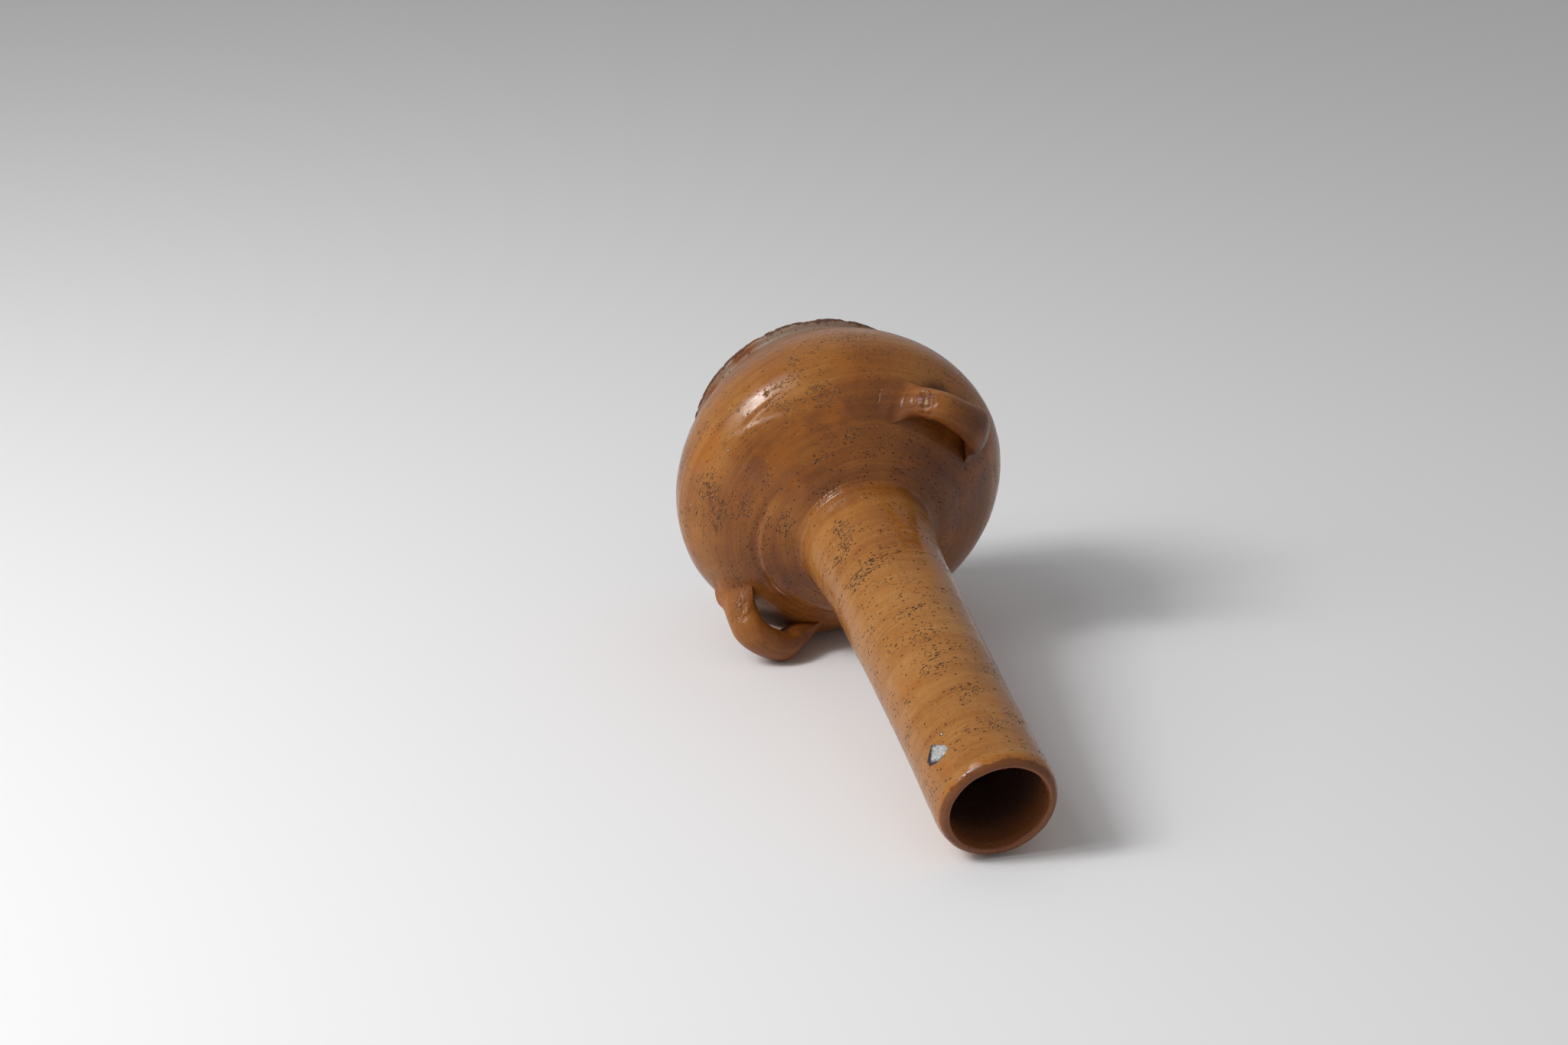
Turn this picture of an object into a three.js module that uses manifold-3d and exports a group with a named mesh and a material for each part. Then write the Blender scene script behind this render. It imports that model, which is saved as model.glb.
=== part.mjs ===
// A glazed stoneware bottle vase: a globular thrown body on a short flared foot, a tall
// neck with a rounded lip, and two small ear handles pressed onto the shoulder.
// Millimetres, Z up. The origin is the middle of the flat underside, the two handles
// stand on the X axis, and every height is measured up from the underside.

import * as THREE from 'three';
import Module from 'manifold-3d';
import { mergeVertices } from 'three/addons/utils/BufferGeometryUtils.js';

const wasm = await Module();
wasm.setup();

// Base disc, cut from a slab, with a short flared edge
const footRadius = 80.5;
const footHeight = 8.5;
const footBevel = 1.5;
const footEdge = 3.5;
const waistRadius = 77;

// Body, thrown as one globe that stays open at the floor and at the shoulder
const bellyRadius = 107;
const bellyHeight = 78;
const bodyWall = 8;
const floorFillet = 10;
const waistFlare = 8;
const waistRise = 18;
const bellyDrop = 31;
const bellyLift = 22;
const shoulderRun = 30;
const shoulderRise = 9;

// Collar, luted on the body's rim and smeared out over the shoulder as a thin skirt
const seatHeight = 133.5;
const seatRadius = 46;
const skirtRadius = 65.5;
const skirtThick = 1.8;
const coveHeight = 141;
const coveRadius = 42;
const coveRun = 10;
const coveSweep = 7;
const collarBore = 33;
const collarTaper = 30;

// Neck, thrown apart and joined to the collar at the seam
const seamHeight = 205;
const seamRadius = 37;
const seamGroove = 0.8;
const neckWall = 7.7;
const mouthHeight = 403;
const mouthRadius = 35.4;
const neckWaistHeight = 290;
const neckWaistRadius = 35.3;
const lipOuterRound = 4.5;
const lipInnerRound = 2;

// Ear handles, pulled straps that loop along the shoulder between two thumbed pads. The
// left one leans further out, the right one is stouter and its pads are drawn out.
const leftHandleHeight = 113.5;
const leftHandleTilt = 51;
const leftLoopSpan = 48;
const leftLoopReach = 26.5;
const leftStrapWidth = 20;
const leftStrapThick = 15;
const leftFrontPadLength = 15;
const leftRearPadLength = 15;
const leftRearPadWidth = 27;
const rightHandleHeight = 110;
const rightHandleTilt = 60;
const rightLoopSpan = 42;
const rightLoopReach = 27.5;
const rightStrapWidth = 24;
const rightStrapThick = 19;
const rightFrontPadLength = 17;
const rightRearPadLength = 26;
const rightRearPadWidth = 33;
const loopCrown = 26;
const frontPadWidth = 34;
const padRound = 12;
const padThick = 9;
const padSink = 2.2;
const padFeather = 0.2;

// The film of slip between a piece and the curved clay that it is pressed on
const slipGap = 0.3;

// How finely the round forms are cut
const turns = 56;
const bowlSteps = 7;
const shoulderSteps = 10;
const skirtSteps = 3;
const coveSteps = 4;
const neckSteps = 6;
const roundSteps = 3;
const strapSides = 12;
const strapSteps = 34;
const halvings = 40;

function at(radius, height) {
  return new THREE.Vector2(radius, height);
}

function bend(start, startPull, endPull, end) {
  return new THREE.CubicBezierCurve(start, startPull, endPull, end);
}

// The outline of the body's outside, from the waist to the belly and on to the seat
const bowl = bend(
  at(waistRadius, footHeight),
  at(waistRadius + waistFlare, footHeight + waistRise),
  at(bellyRadius, bellyHeight - bellyDrop),
  at(bellyRadius, bellyHeight),
);
const shoulder = bend(
  at(bellyRadius, bellyHeight),
  at(bellyRadius, bellyHeight + bellyLift),
  at(seatRadius + shoulderRun, seatHeight - shoulderRise),
  at(seatRadius, seatHeight),
);

// Where along the shoulder, from 0 at the belly to 1 at the seat, a test turns false.
function shoulderUntil(test) {
  let low = 0;
  let high = 1;
  for (let i = 0; i < halvings; i += 1) {
    const middle = (low + high) / 2;
    if (test(shoulder.getPoint(middle))) {
      low = middle;
    } else {
      high = middle;
    }
  }
  return low;
}

function shoulderAtRadius(radius) {
  return shoulderUntil((point) => point.x > radius);
}

function shoulderAtHeight(height) {
  return shoulderUntil((point) => point.y < height);
}

// Points along a stretch of an outline, moved square to it: outwards if distance > 0.
function beside(outline, distance, from, to, steps) {
  const points = [];
  for (let i = 0; i <= steps; i += 1) {
    const t = THREE.MathUtils.lerp(from, to, i / steps);
    const along = outline.getTangent(t);
    const point = outline.getPoint(t);
    points.push(at(point.x + along.y * distance, point.y - along.x * distance));
  }
  return points;
}

// Points on an arc about a centre, from one angle to another in degrees.
function arc(centre, radius, fromAngle, toAngle) {
  const points = [];
  for (let i = 0; i <= roundSteps; i += 1) {
    const angle = THREE.MathUtils.degToRad(THREE.MathUtils.lerp(fromAngle, toAngle, i / roundSteps));
    points.push(at(centre.x + radius * Math.cos(angle), centre.y + radius * Math.sin(angle)));
  }
  return points;
}

// A geometry with positions only, equal ones merged and no triangle without area.
function bare(geometry) {
  const copy = geometry.clone();
  copy.deleteAttribute('normal');
  copy.deleteAttribute('uv');
  const merged = mergeVertices(copy, 1e-4);
  const corners = Array.from(merged.index.array);
  const kept = [];
  for (let i = 0; i < corners.length; i += 3) {
    const [a, b, c] = corners.slice(i, i + 3);
    if (a !== b && b !== c && c !== a) {
      kept.push(a, b, c);
    }
  }
  merged.setIndex(kept);
  return merged;
}

// An outline of points turned round the Z axis and set down by the height of its own seat.
function turned(outline, seat = 0) {
  const lathe = new THREE.LatheGeometry(outline, turns);
  lathe.rotateX(Math.PI / 2);
  lathe.translate(0, 0, -seat);
  return bare(lathe);
}

// A ring's outline comes back to its first point.
function ringOutline(...stretches) {
  const points = stretches.flat();
  return [...points, points[0]];
}

function solidOf(geometry) {
  const mesh = new wasm.Mesh({
    numProp: 3,
    vertProperties: new Float32Array(geometry.attributes.position.array),
    triVerts: new Uint32Array(geometry.index.array),
  });
  return new wasm.Manifold(mesh);
}

function geometryOf(solid) {
  const mesh = solid.getMesh();
  const geometry = new THREE.BufferGeometry();
  geometry.setAttribute('position', new THREE.BufferAttribute(mesh.vertProperties, 3));
  geometry.setIndex(new THREE.BufferAttribute(mesh.triVerts, 1));
  return geometry;
}

function baseDisc() {
  const flareMiddle = (footEdge + footHeight) / 2;
  const flare = bend(
    at(footRadius, footEdge),
    at(footRadius, flareMiddle),
    at(waistRadius, flareMiddle),
    at(waistRadius, footHeight),
  );
  return turned([
    at(0, 0),
    at(footRadius - footBevel, 0),
    at(footRadius, footBevel),
    ...flare.getPoints(roundSteps),
    at(0, footHeight),
  ]);
}

// The wall follows the outside at an even thickness. It thickens to a fillet at the
// floor, and round the opening its rim is flat where the collar stands.
function bodyShell() {
  const insideTop = beside(shoulder, -bodyWall, 1, 0, shoulderSteps);
  const insideBowl = beside(bowl, -bodyWall, 1, 0, bowlSteps);
  const floorRadius = waistRadius - bodyWall - floorFillet;
  const outline = ringOutline(
    at(floorRadius, footHeight),
    bowl.getPoints(bowlSteps),
    shoulder.getPoints(shoulderSteps).slice(1),
    at(collarBore, seatHeight),
    at(collarBore, insideTop[0].y),
    insideTop,
    insideBowl.slice(1),
  );
  return turned(outline, footHeight);
}

// The stub of the neck with its cove, and the thin skirt that lies on the shoulder.
function neckCollar() {
  const edge = shoulderAtRadius(skirtRadius);
  const coveStart = shoulderAtRadius(coveRadius + coveRun);
  const skirtUnder = beside(shoulder, slipGap, 1, edge, skirtSteps);
  const skirtOver = beside(shoulder, slipGap + skirtThick, edge, coveStart, skirtSteps);
  const coveFoot = skirtOver[skirtSteps];
  const inwards = shoulder.getTangent(coveStart).multiplyScalar(coveRun / 2);
  const cove = bend(
    coveFoot,
    coveFoot.clone().add(inwards),
    at(coveRadius, coveHeight - coveSweep / 2),
    at(coveRadius, coveHeight),
  );
  const stub = bend(
    at(coveRadius, coveHeight),
    at(coveRadius, coveHeight + coveSweep),
    at(seamRadius, seamHeight - collarTaper),
    at(seamRadius, seamHeight - seamGroove),
  );
  const bore = bend(
    at(seamRadius - neckWall, seamHeight),
    at(seamRadius - neckWall, seamHeight - collarTaper),
    at(collarBore, coveHeight + coveSweep),
    at(collarBore, seatHeight),
  );
  const outline = ringOutline(
    at(seatRadius, seatHeight),
    skirtUnder,
    skirtOver,
    cove.getPoints(coveSteps).slice(1),
    stub.getPoints(coveSteps).slice(1),
    at(seamRadius - seamGroove, seamHeight),
    bore.getPoints(coveSteps),
  );
  return turned(outline, seatHeight);
}

// The long neck, drawn in a little at its waist, with a rounded lip at the mouth.
function neckTube() {
  const side = new THREE.SplineCurve([
    at(seamRadius, seamHeight + seamGroove),
    at(neckWaistRadius, neckWaistHeight),
    at(mouthRadius, mouthHeight - lipOuterRound),
  ]);
  const boreRadius = mouthRadius - neckWall;
  const lipOuter = at(mouthRadius - lipOuterRound, mouthHeight - lipOuterRound);
  const lipInner = at(boreRadius + lipInnerRound, mouthHeight - lipInnerRound);
  const outline = ringOutline(
    at(seamRadius - neckWall, seamHeight),
    at(seamRadius - seamGroove, seamHeight),
    side.getPoints(neckSteps),
    arc(lipOuter, lipOuterRound, 0, 90).slice(1),
    arc(lipInner, lipInnerRound, 90, 180),
  );
  return turned(outline, seamHeight);
}

// Everything inside the body's outside, grown by the film of slip.
function bodyEnvelope() {
  return turned([
    at(0, footHeight),
    ...beside(bowl, slipGap, 0, 1, bowlSteps),
    ...beside(shoulder, slipGap, 0, 1, shoulderSteps).slice(1),
    at(0, seatHeight + slipGap),
  ]);
}

// How far the shoulder lies under the handle's plane of contact, at a distance sideways
// from the middle of the handle.
function shoulderDrop(sideways, contact, outwards) {
  let depth = 0;
  for (let i = 0; i < halvings; i += 1) {
    const radius = contact.x - outwards.x * depth;
    const height = contact.z - outwards.z * depth;
    const surface = shoulder.getPoint(shoulderAtHeight(height)).x;
    depth += (Math.hypot(radius, sideways) - surface) * outwards.x;
  }
  return depth;
}

// The route of a strap: it starts on the front pad, climbs off the shoulder into a
// round loop and comes down to the rear pad.
function strapRoute(ear, contact, outwards) {
  const half = ear.loopSpan / 2;
  const crownLift = ear.loopReach - ear.strapThick / 2;
  const inAir = (sideways, lift) => contact.clone().setY(sideways).addScaledVector(outwards, lift);
  const onClay = (sideways, lift) => (
    inAir(sideways, lift - shoulderDrop(sideways, contact, outwards))
  );
  return new THREE.CatmullRomCurve3([
    onClay(-half - ear.frontPadLength, -padSink),
    onClay(-half - ear.frontPadLength / 3, 0),
    inAir(-half, crownLift / 2),
    inAir(-loopCrown / 2, crownLift),
    inAir(loopCrown / 2, crownLift),
    inAir(half, crownLift / 2),
    onClay(half + ear.rearPadLength / 3, 0),
    onClay(half + ear.rearPadLength, -padSink),
  ], false, 'centripetal');
}

// One ring of points round the strap. The strap is widest at its pads, whose ends are
// round and thin out into the shoulder.
function strapRing(ear, route, t, across) {
  const fromEnd = Math.min(t, 1 - t) * route.getLength();
  const padLength = t < 0.5 ? ear.frontPadLength : ear.rearPadLength;
  const inPad = 1 - THREE.MathUtils.smoothstep(fromEnd, padLength / 2, padLength + ear.loopReach / 2);
  const pastRound = 1 - Math.min(1, fromEnd / padRound);
  const endRound = Math.max(padFeather, Math.sqrt(1 - pastRound * pastRound));
  const padWidth = t < 0.5 ? frontPadWidth : ear.rearPadWidth;
  const width = THREE.MathUtils.lerp(ear.strapWidth, padWidth, inPad) * endRound;
  const thick = THREE.MathUtils.lerp(ear.strapThick, padThick, inPad) * endRound;
  const centre = route.getPointAt(t);
  const lift = new THREE.Vector3().crossVectors(across, route.getTangentAt(t)).normalize();
  const ring = [];
  for (let k = 0; k < strapSides; k += 1) {
    const angle = (2 * Math.PI * k) / strapSides;
    const point = centre.clone();
    point.addScaledVector(across, (width / 2) * Math.cos(angle));
    point.addScaledVector(lift, (thick / 2) * Math.sin(angle));
    ring.push(point);
  }
  return ring;
}

function middleOf(ring) {
  const middle = new THREE.Vector3();
  ring.forEach((point) => middle.add(point));
  return middle.divideScalar(ring.length);
}

// A closed skin over a row of rings. For side -1 it is mirrored to the left of the vase.
function skinOver(rings, side) {
  const sides = rings[0].length;
  const lastRing = (rings.length - 1) * sides;
  const points = [...rings.flat(), middleOf(rings[0]), middleOf(rings[rings.length - 1])];
  const firstMiddle = points.length - 2;
  const lastMiddle = points.length - 1;
  const faces = [];
  for (let k = 0; k < sides; k += 1) {
    const next = (k + 1) % sides;
    faces.push([firstMiddle, k, next], [lastMiddle, lastRing + next, lastRing + k]);
    for (let start = 0; start < lastRing; start += sides) {
      const [a, b, c, d] = [start + k, start + next, start + sides + next, start + sides + k];
      faces.push([a, c, b], [a, d, c]);
    }
  }
  const outward = side < 0 ? faces.map(([a, b, c]) => [a, c, b]) : faces;
  const geometry = new THREE.BufferGeometry();
  const numbers = points.flatMap((point) => [point.x * side, point.y, point.z]);
  geometry.setAttribute('position', new THREE.Float32BufferAttribute(numbers, 3));
  geometry.setIndex(outward.flat());
  return geometry;
}

// One ear handle as a mesh in its place, on the right for side 1 and on the left for
// side -1. Its underside is the shoulder's own surface with the film of slip between.
function earHandle(name, side, ear) {
  const outline = shoulder.getPoint(shoulderAtHeight(ear.height));
  const contact = new THREE.Vector3(outline.x, 0, outline.y);
  const tilt = THREE.MathUtils.degToRad(ear.tilt);
  const outwards = new THREE.Vector3(Math.cos(tilt), 0, Math.sin(tilt));
  const across = new THREE.Vector3(Math.sin(tilt), 0, -Math.cos(tilt));
  const route = strapRoute(ear, contact, outwards);
  const rings = [];
  for (let i = 0; i <= strapSteps; i += 1) {
    rings.push(strapRing(ear, route, i / strapSteps, across));
  }
  const strap = solidOf(skinOver(rings, side));
  const place = contact.clone().setX(contact.x * side);
  const geometry = geometryOf(strap.subtract(solidOf(bodyEnvelope())));
  geometry.translate(-place.x, 0, -place.z);
  const handle = piece(name, geometry, amberGlaze);
  handle.position.copy(place);
  return handle;
}

function glaze(colour, roughness) {
  return new THREE.MeshStandardMaterial({ color: colour, roughness, metalness: 0 });
}

function piece(name, geometry, material) {
  const mesh = new THREE.Mesh(geometry, material);
  mesh.name = name;
  return mesh;
}

const leftEar = {
  height: leftHandleHeight,
  tilt: leftHandleTilt,
  loopSpan: leftLoopSpan,
  loopReach: leftLoopReach,
  strapWidth: leftStrapWidth,
  strapThick: leftStrapThick,
  frontPadLength: leftFrontPadLength,
  rearPadLength: leftRearPadLength,
  rearPadWidth: leftRearPadWidth,
};
const rightEar = {
  height: rightHandleHeight,
  tilt: rightHandleTilt,
  loopSpan: rightLoopSpan,
  loopReach: rightLoopReach,
  strapWidth: rightStrapWidth,
  strapThick: rightStrapThick,
  frontPadLength: rightFrontPadLength,
  rearPadLength: rightRearPadLength,
  rearPadWidth: rightRearPadWidth,
};

const honeyGlaze = glaze(0xb47a3f, 0.3);
const amberGlaze = glaze(0x9c5f2c, 0.26);
const footGlaze = glaze(0x8f5426, 0.5);

// The pieces stand on one another: the body on the foot, the collar on the body's rim
// and the neck on the collar.
const base = piece('base_disc', baseDisc(), footGlaze);
const body = piece('body_shell', bodyShell(), amberGlaze);
body.position.z = footHeight;

const neck = new THREE.Group();
neck.position.z = seatHeight;
const tube = piece('neck_tube', neckTube(), honeyGlaze);
tube.position.z = seamHeight - seatHeight;
neck.add(piece('neck_collar', neckCollar(), honeyGlaze), tube);

const vase = new THREE.Group();
vase.add(
  base,
  body,
  neck,
  earHandle('left_handle', -1, leftEar),
  earHandle('right_handle', 1, rightEar),
);

export default vase;
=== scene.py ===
import math
from types import SimpleNamespace

import bpy
import numpy as np
from mathutils import Matrix, Vector

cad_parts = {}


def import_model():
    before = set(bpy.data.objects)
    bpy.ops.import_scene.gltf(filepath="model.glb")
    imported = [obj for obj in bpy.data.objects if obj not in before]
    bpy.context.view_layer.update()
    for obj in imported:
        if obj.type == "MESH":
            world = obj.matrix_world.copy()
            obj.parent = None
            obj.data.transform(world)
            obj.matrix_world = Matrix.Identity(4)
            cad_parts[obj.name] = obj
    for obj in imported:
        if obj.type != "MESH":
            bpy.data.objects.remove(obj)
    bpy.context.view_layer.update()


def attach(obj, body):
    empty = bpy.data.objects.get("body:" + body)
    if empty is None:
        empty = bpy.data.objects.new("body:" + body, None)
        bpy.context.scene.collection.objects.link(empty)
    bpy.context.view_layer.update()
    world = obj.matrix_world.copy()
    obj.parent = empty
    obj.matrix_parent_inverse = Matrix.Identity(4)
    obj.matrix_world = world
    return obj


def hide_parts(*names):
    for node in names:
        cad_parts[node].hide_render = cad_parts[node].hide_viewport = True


# The looks of a glazed stoneware vase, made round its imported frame. Every size is in millimetres
# until a mesh is made, and angles are in degrees. Azimuth is counted round the vase from +X
# towards +Y, so the side in the photograph is about -110.
MILLIMETRE = 0.001

# Sizes that the frame's solids have too
FOOT_RADIUS, FOOT_HEIGHT, FOOT_BEVEL, FOOT_EDGE, WAIST_RADIUS = 80.5, 8.5, 1.5, 3.5, 77
BELLY_RADIUS, BELLY_HEIGHT, BODY_WALL, FLOOR_FILLET = 107, 78, 8, 10
WAIST_FLARE, WAIST_RISE, BELLY_DROP, BELLY_LIFT = 8, 18, 31, 22
SHOULDER_RUN, SHOULDER_RISE, SEAT_HEIGHT, SEAT_RADIUS = 30, 9, 133.5, 46
SKIRT_RADIUS, SKIRT_THICK = 65.5, 1.8
COVE_HEIGHT, COVE_RADIUS, COVE_RUN, COVE_SWEEP = 141, 42, 10, 7
COLLAR_BORE, COLLAR_TAPER = 33, 30
SEAM_HEIGHT, SEAM_RADIUS, NECK_WALL = 205, 37, 7.7
MOUTH_HEIGHT, MOUTH_RADIUS = 403, 35.4
NECK_WAIST_HEIGHT, NECK_WAIST_RADIUS = 290, 35.3
LOOP_CROWN, FRONT_PAD_WIDTH, PAD_ROUND, PAD_THICK, PAD_SINK = 26, 34, 12, 9, 2.2

# The handles. The last line of each is for the look alone: how much wider the strap is in its
# rear half, how much is off the lower side of its front pad, and how much further in the strap
# leaves that pad.
LEFT_EAR = SimpleNamespace(
    side=-1, height=113.5, tilt=51, span=48, reach=26.5, width=20, thick=15,
    front_length=15, rear_length=15, rear_width=27,
    swell=6, front_trim=6, set_in=4,
)
RIGHT_EAR = SimpleNamespace(
    side=1, height=110, tilt=60, span=42, reach=27.5, width=24, thick=19,
    front_length=17, rear_length=26, rear_width=33,
    swell=2, front_trim=0, set_in=0,
)

# The seam as it shows, smeared nearly shut, how deep the skirt lies in the globe, how far the
# feathered edges of the skirt and of the pads run on, and the two sides of the lip, which are
# rolled over longer than they are thick
SEAM_CRACK, SEAM_DEPTH, SKIRT_SINK, SKIRT_OVER, PAD_OVER = 0.03, 1.3, 2.4, 10, 4
LIP_OUTER_ROUND, LIP_ROLL, LIP_INNER_ROUND, LIP_INNER_ROLL = 5, 10, 2.4, 3
BORE_RADIUS, STRAIGHT_BORE = MOUTH_RADIUS - NECK_WALL, 70

# How finely the surfaces are cut: the steps along an outline, where the fans that close the
# foot begin, how near its end a line gets its extra point, and how many steps there are round
FINE, COARSE, LIP_STEP, MOUTH_STEP = 1, 5, 0.5, 2
FOOT_STEP, UNDER_STEP, FOOT_TOP_STEP, FAN_RADIUS = 0.6, 4, 12, 4
END_SHARE = 0.06
BODY_TURNS, COLLAR_TURNS, NECK_TURNS, FOOT_TURNS = 640, 420, 360, 640
STRAP_SIDES, STRAP_STEPS = 84, 220

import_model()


# Noise and outlines

# Keeps the noise's grid off the vase's axis and foot
OFF_CENTRE = 100.37


def lattice(cells, seed):
    """A fixed random number from -1 to 1 for each whole-numbered cell."""
    mixed = np.uint64(seed * 7919 + 17)
    for axis, prime in enumerate((73856093, 19349663, 83492791)):
        mixed = mixed ^ (cells[:, axis].astype(np.uint64) * np.uint64(prime))
        mixed = (mixed ^ (mixed >> np.uint64(13))) * np.uint64(1274126177)
        mixed = mixed & np.uint64(0xFFFFFFFF)
    mixed = mixed ^ (mixed >> np.uint64(16))
    return mixed.astype(float) / 0x7FFFFFFF - 1


def noise(points, size, seed):
    """Smooth noise, about -1 to 1, with lumps of the given size."""
    cells = points / size + OFF_CENTRE
    low = np.floor(cells).astype(np.int64)
    part = cells - low
    ease = part * part * part * (part * (part * 6 - 15) + 10)
    total = np.zeros(len(points))
    for corner in np.ndindex(2, 2, 2):
        share = np.prod(np.where(corner, ease, 1 - ease), axis=1)
        total += share * lattice(low + np.array(corner), seed)
    return total


def smooth_step(low, high, value):
    t = np.clip((value - low) / (high - low), 0, 1)
    return t * t * (3 - 2 * t)


def bezier(a, b, c, d, count=60):
    t = np.linspace(0, 1, count)[:, None]
    a, b, c, d = (np.array(p, float) for p in (a, b, c, d))
    return (1 - t) ** 3 * a + 3 * (1 - t) ** 2 * t * b + 3 * (1 - t) * t * t * c + t ** 3 * d


def oval(centre, wide, high, start, end, count=14):
    angle = np.radians(np.linspace(start, end, count))
    return np.column_stack((centre[0] + wide * np.cos(angle), centre[1] + high * np.sin(angle)))


def spaced(points, step):
    """The same line with points at equal steps."""
    points = np.array(points, float)
    lengths = np.hypot(*np.diff(points, axis=0).T)
    along = np.concatenate(([0], np.cumsum(lengths)))
    places = np.linspace(0, along[-1], max(2, round(along[-1] / step) + 1))
    return np.column_stack([np.interp(places, along, points[:, k]) for k in (0, 1)])


def with_crisp_ends(points):
    """The line with one more point close to each end, so that its edges stay sharp."""
    first = points[0] + (points[1] - points[0]) * END_SHARE
    last = points[-1] + (points[-2] - points[-1]) * END_SHARE
    return np.concatenate((points[:1], [first], points[1:-1], [last], points[-1:]))


def tangents(points):
    steps = np.gradient(points, axis=0)
    return steps / np.linalg.norm(steps, axis=1)[:, None]


def outwards_of(points):
    """The way square to a line at each of its points, outwards where the line climbs."""
    along = tangents(points)
    return np.column_stack((along[:, 1], -along[:, 0]))


def beside(points, distance):
    """The line moved square to itself, outwards if distance is more than 0."""
    return points + distance * outwards_of(points)


BOWL = bezier(
    (WAIST_RADIUS, FOOT_HEIGHT),
    (WAIST_RADIUS + WAIST_FLARE, FOOT_HEIGHT + WAIST_RISE),
    (BELLY_RADIUS, BELLY_HEIGHT - BELLY_DROP),
    (BELLY_RADIUS, BELLY_HEIGHT),
)
SHOULDER = bezier(
    (BELLY_RADIUS, BELLY_HEIGHT),
    (BELLY_RADIUS, BELLY_HEIGHT + BELLY_LIFT),
    (SEAT_RADIUS + SHOULDER_RUN, SEAT_HEIGHT - SHOULDER_RISE),
    (SEAT_RADIUS, SEAT_HEIGHT),
    200,
)
GLOBE = np.concatenate((BOWL, SHOULDER[1:]))


# Relief: how far the hand-made surface lies from the turned outline, outwards if more than 0

# The spall near the mouth, with its corners in millimetres round and up the neck from there
SPALL_AZIMUTH, SPALL_HEIGHT = -87, 371
SPALL = (
    (0.3, -7.7), (4.7, -4.7), (8.2, -2.3), (7.7, 2.4), (1.4, 6.2),
    (-4.7, 6.3), (-8.2, 4.2), (-7.5, 0.8), (-3.6, -4.0),
)

# The ridge and the scored line on the shoulder, as azimuth and height, and the ledge at the edge
# of the luted skirt, as azimuth, radius and how high it stands
RIDGE = ((-165, 122), (-153, 120), (-113, 109), (-81, 96), (-60, 92))
SCORE = ((-128, 94.5), (-106, 98.4), (-94, 100.6), (-82, 99.0), (-62, 99.6))
LEDGE = (
    (-180, 62, 0.3), (-130, 60.5, 0.05), (-92, 61.8, 0.6), (-78, 62.9, 1.5), (-67, 64.6, 1.7),
    (-55, 65.6, 1.7), (-30, 66, 1.3), (10, 64, 0.3), (60, 62.5, 0.1), (180, 62, 0.3),
)

# The clay that rises behind the right handle, as azimuth, radius and height, the crease at the
# neck's root, and how far round a throwing ring keeps its shape
HANDLE_SWELL = (10, 102, 94)
CREASE_HEIGHT = 136.8
RING_LENGTH = 70


def azimuth_of(points):
    return np.degrees(np.arctan2(points[:, 1], points[:, 0]))


def radius_of(points):
    return np.hypot(points[:, 0], points[:, 1])


def place(azimuth, radius, height):
    angle = math.radians(azimuth)
    return np.array((radius * math.cos(angle), radius * math.sin(angle), height))


def near(points, where, reach):
    """1 at a place on the vase, falling smoothly to 0 at the reach."""
    return 1 - smooth_step(0, reach, np.linalg.norm(points - place(*where), axis=1))


def between(value, start, full, fading, end):
    """1 from full to fading, falling smoothly to 0 at the start and at the end."""
    return smooth_step(start, full, value) * (1 - smooth_step(fading, end, value))


def bell(value, middle, width):
    """1 at the middle, and nearly 0 from two widths away."""
    return np.exp(-((value - middle) / width) ** 2)


def layers(texture, points, *sizes):
    """Layers of a texture added up, each as its height, its size and its seed."""
    return sum(height * texture(points, size, seed) for height, size, seed in sizes)


def spall_sides():
    """Each side of the spall as the way out of it, and how far it lies out that way."""
    for (u, v), (next_u, next_v) in zip(SPALL, SPALL[1:] + SPALL[:1]):
        length = math.hypot(next_u - u, next_v - v)
        out_u, out_v = (next_v - v) / length, (u - next_u) / length
        yield out_u, out_v, u * out_u + v * out_v


def along_outline(points):
    """A measure that climbs the outside from foot to mouth, across the shoulder too."""
    side = np.where(points[:, 2] > BELLY_HEIGHT, 1, -1)
    return points[:, 2] + side * (BELLY_RADIUS - radius_of(points))


def throwing_rings(points, pitch, seed):
    """Shallow rings left by the fingers, which wander and fade as they go round."""
    stretched = np.column_stack((points[:, :2] * (pitch / RING_LENGTH), along_outline(points)))
    return noise(stretched, pitch, seed)


def hand_relief(points):
    """Lumps all over, and throwing rings where the skirt doesn't hide them."""
    lumps = layers(noise, points, (0.32, 64, 1), (0.2, 27, 2), (0.1, 11, 3))
    rings = layers(throwing_rings, points, (0.1, 5.5, 4), (0.05, 2.4, 5))
    clear = smooth_step(SEAT_RADIUS + 6, SEAT_RADIUS + 12, radius_of(points))
    return -0.5 + 0.8 * lumps + rings * clear


def shoulder_ridge(points):
    """A soft ridge that climbs round the shoulder, where the potter's rib was lifted off."""
    azimuth = azimuth_of(points)
    gap = points[:, 2] - np.interp(azimuth, *zip(*RIDGE))
    return 0.45 * between(azimuth, -172, -150, -84, -62) * between(gap, -3.5, 0, 0, 11)


def shoulder_score(points):
    """A thin line that a tool scored where the belly turns into the shoulder."""
    azimuth = azimuth_of(points)
    line = bell(points[:, 2], np.interp(azimuth, *zip(*SCORE)), 0.8)
    return -0.16 * between(azimuth, -130, -108, -78, -60) * line


def ledge(points):
    """How far inside the edge of the luted skirt a point lies, and how high the edge stands."""
    azimuth = azimuth_of(points)
    around, edges, rises = zip(*LEDGE)
    edge = np.interp(azimuth, around, edges) + 0.7 * noise(points, 14, 21)
    return edge - radius_of(points), np.interp(azimuth, around, rises)


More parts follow.
